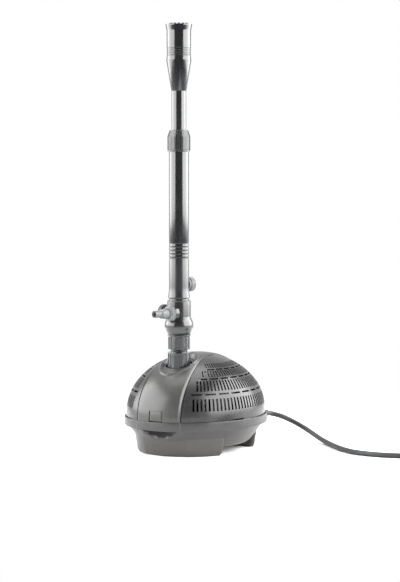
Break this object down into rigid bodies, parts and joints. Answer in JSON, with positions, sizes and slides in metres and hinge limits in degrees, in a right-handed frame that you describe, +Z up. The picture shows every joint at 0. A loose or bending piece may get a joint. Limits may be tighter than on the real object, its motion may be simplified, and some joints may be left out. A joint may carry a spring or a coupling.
{
  "type": "fountain pump",
  "caption": "Submersible fountain pump: oval slotted cage on a footed base, ball-jointed tee with regulators and hose barb, telescopic riser with a jet nozzle, mains lead.",
  "frame": {"origin": "on the floor under the middle of the oval base", "axes": "+Z up along the riser, -Y the front with the riser and the latch, +X the right side"},
  "size_m": [0.5952, 0.3138, 0.5785],
  "materials": {
    "base_plastic": "matt charcoal moulding",
    "cage_plastic": "matt charcoal moulding",
    "saddle_plastic": "satin dark grey moulding",
    "adapter_plastic": "satin black-grey moulding",
    "tee_plastic": "glossy near-black moulding",
    "socket_plastic": "satin near-black moulding",
    "tube_plastic": "glossy near-black tube",
    "knob_plastic": "satin near-black knurled knob",
    "outlet_plastic": "satin mid grey moulding",
    "jet_plastic": "black moulding",
    "clamp_plastic": "natural white slippery plastic",
    "motor_plastic": "matt black resin-filled housing",
    "volute_plastic": "matt dark grey moulding",
    "impeller_plastic": "matt grey moulding",
    "core_steel": "laminated steel",
    "winding_wire": "enamelled copper wire",
    "magnet_ferrite": "black ferrite",
    "shaft_ceramic": "polished white ceramic",
    "seal_rubber": "black rubber",
    "gland_rubber": "matt black rubber",
    "screw_steel": "stainless steel",
    "cable_rubber": "dark grey rubber sheath",
    "plug_rubber": "black rubber",
    "pin_metal": "nickel-plated brass"
  },
  "bodies": {
    "base": {"base_shell": "base_plastic", "cable_gland": "gland_rubber", "cable_boot": "gland_rubber", "inner_lead": "cable_rubber", "motor_housing": "motor_plastic", "motor_end_cap": "motor_plastic", "motor_screws": "screw_steel", "stator_core": "core_steel", "stator_coils": "winding_wire", "pump_shaft": "shaft_ceramic", "front_bush": "seal_rubber", "rear_bush": "seal_rubber", "volute_housing": "volute_plastic", "volute_cover": "volute_plastic", "volute_seal": "seal_rubber", "volute_screws": "screw_steel", "outlet_adapter": "adapter_plastic", "adapter_seal": "seal_rubber", "cable": "cable_rubber", "cable_coil": "cable_rubber", "cable_tail": "cable_rubber", "plug_body": "plug_rubber", "plug_pins": "pin_metal"},
    "rotor": {"rotor_magnet": "magnet_ferrite", "impeller": "impeller_plastic"},
    "cover": {"cage_left": "cage_plastic", "cage_right": "cage_plastic", "saddle_cover": "saddle_plastic"},
    "latch": {"front_latch": "saddle_plastic"},
    "nut": {"union_nut": "adapter_plastic"},
    "swivel": {"ball_stem": "tee_plastic", "ball_seal": "seal_rubber"},
    "riser": {"tee_body": "tee_plastic", "riser_socket": "socket_plastic", "lower_tube": "tube_plastic", "clamp_ring": "clamp_plastic", "hose_barb": "outlet_plastic"},
    "side_valve": {"side_regulator": "knob_plastic"},
    "riser_valve": {"riser_regulator": "knob_plastic"},
    "hose_nut": {"outlet_nut": "outlet_plastic"},
    "collar": {"lock_collar": "socket_plastic"},
    "upper": {"upper_tube": "tube_plastic"},
    "nozzle": {"nozzle_head": "tube_plastic", "nozzle_jets": "jet_plastic"}
  },
  "joints": [
    {"name": "rotor_spin", "type": "hinge", "parent": "base", "child": "rotor", "pos_m": [0.013, 0, 0.058], "axis": [0, 1, 0], "continuous": true},
    {"name": "cover_lift", "type": "slide", "parent": "base", "child": "cover", "axis": [0, 0, 1], "range_m": [0, 0.018]},
    {"name": "latch_press", "type": "hinge", "parent": "cover", "child": "latch", "pos_m": [0, -0.10772, 0.0625], "axis": [1, 0, 0], "range_deg": [0, 8], "stiffness_Nm_per_rad": 0.5, "springref_deg": -2.86},
    {"name": "nut_turn", "type": "hinge", "parent": "base", "child": "nut", "pos_m": [0, -0.0485, 0.1725], "axis": [0, 0, 1], "continuous": true},
    {"name": "riser_swivel", "type": "hinge", "parent": "base", "child": "swivel", "pos_m": [0, -0.0485, 0.1725], "axis": [0, 0, 1], "continuous": true},
    {"name": "riser_tilt", "type": "hinge", "parent": "swivel", "child": "riser", "pos_m": [0, -0.0485, 0.1725], "axis": [1, 0, 0], "range_deg": [-10, 10]},
    {"name": "side_valve_turn", "type": "hinge", "parent": "riser", "child": "side_valve", "pos_m": [-0.00098, -0.0508, 0.19], "axis": [-0.9205, 0.3907, 0], "range_deg": [0, 90]},
    {"name": "riser_valve_turn", "type": "hinge", "parent": "riser", "child": "riser_valve", "pos_m": [0, -0.0485, 0.228], "axis": [0.3907, 0.9205, 0], "range_deg": [0, 90]},
    {"name": "hose_nut_turn", "type": "hinge", "parent": "riser", "child": "hose_nut", "pos_m": [0.00433, -0.05034, 0.19], "axis": [-0.3907, -0.9205, 0], "continuous": true},
    {"name": "collar_turn", "type": "hinge", "parent": "riser", "child": "collar", "pos_m": [0, -0.0485, 0.42], "axis": [0, 0, 1], "range_deg": [0, 270]},
    {"name": "tube_slide", "type": "slide", "parent": "riser", "child": "upper", "axis": [0, 0, 1], "range_m": [-0.05, 0.09]},
    {"name": "nozzle_turn", "type": "hinge", "parent": "upper", "child": "nozzle", "pos_m": [0, -0.0485, 0.5], "axis": [0, 0, 1], "continuous": true}
  ]
}
